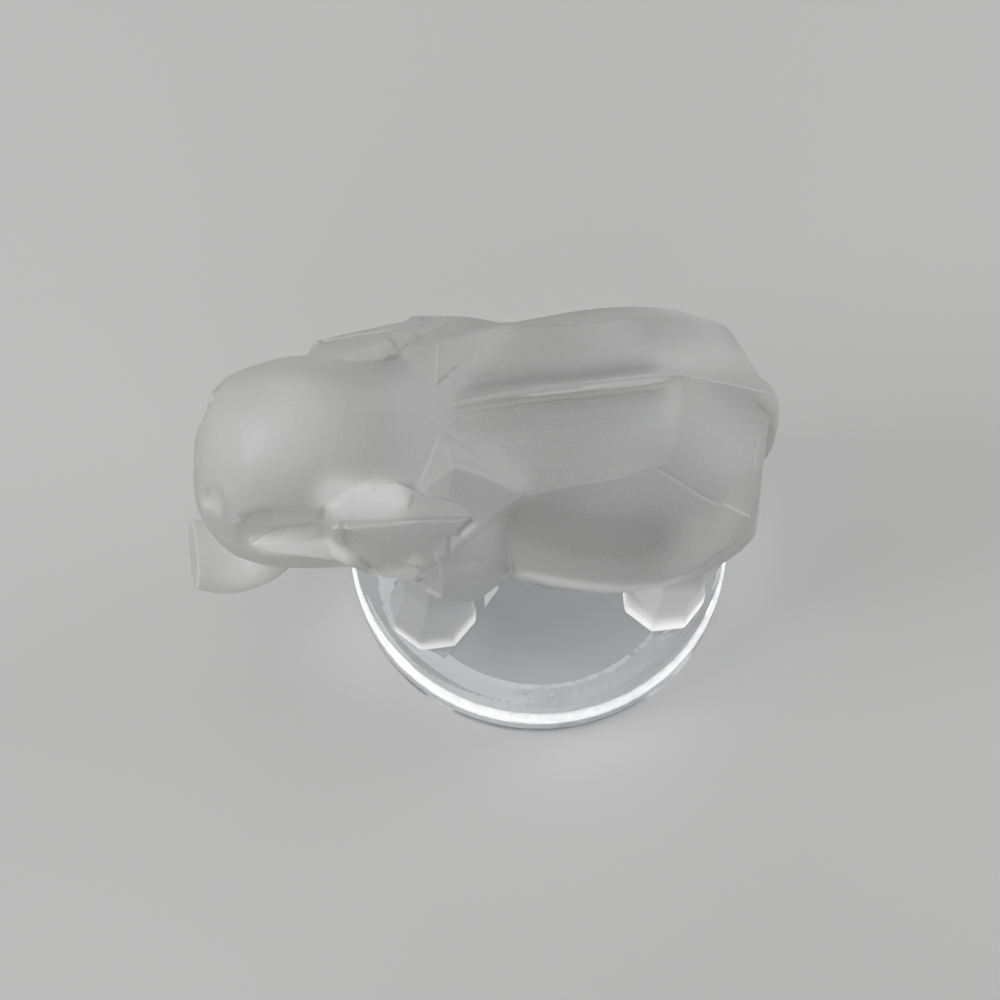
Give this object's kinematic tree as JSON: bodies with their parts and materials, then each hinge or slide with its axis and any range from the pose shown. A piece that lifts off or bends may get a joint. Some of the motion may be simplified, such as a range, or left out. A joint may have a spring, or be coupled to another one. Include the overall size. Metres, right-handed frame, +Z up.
{
  "type": "glass elephant paperweight",
  "caption": "Solid pressed glass paperweight: a faceted satin elephant standing on a thick clear round disc.",
  "frame": {"origin": "centre of the disc's flat underside", "axes": "+Z up; -X the way the elephant faces; -Y the elephant's left side"},
  "size_m": [0.1045, 0.07, 0.0854],
  "materials": {
    "glass": "satin acid-etched on the elephant, polished clear on the disc"
  },
  "bodies": {
    "root": {"elephant_paperweight": "glass"}
  },
  "joints": []
}
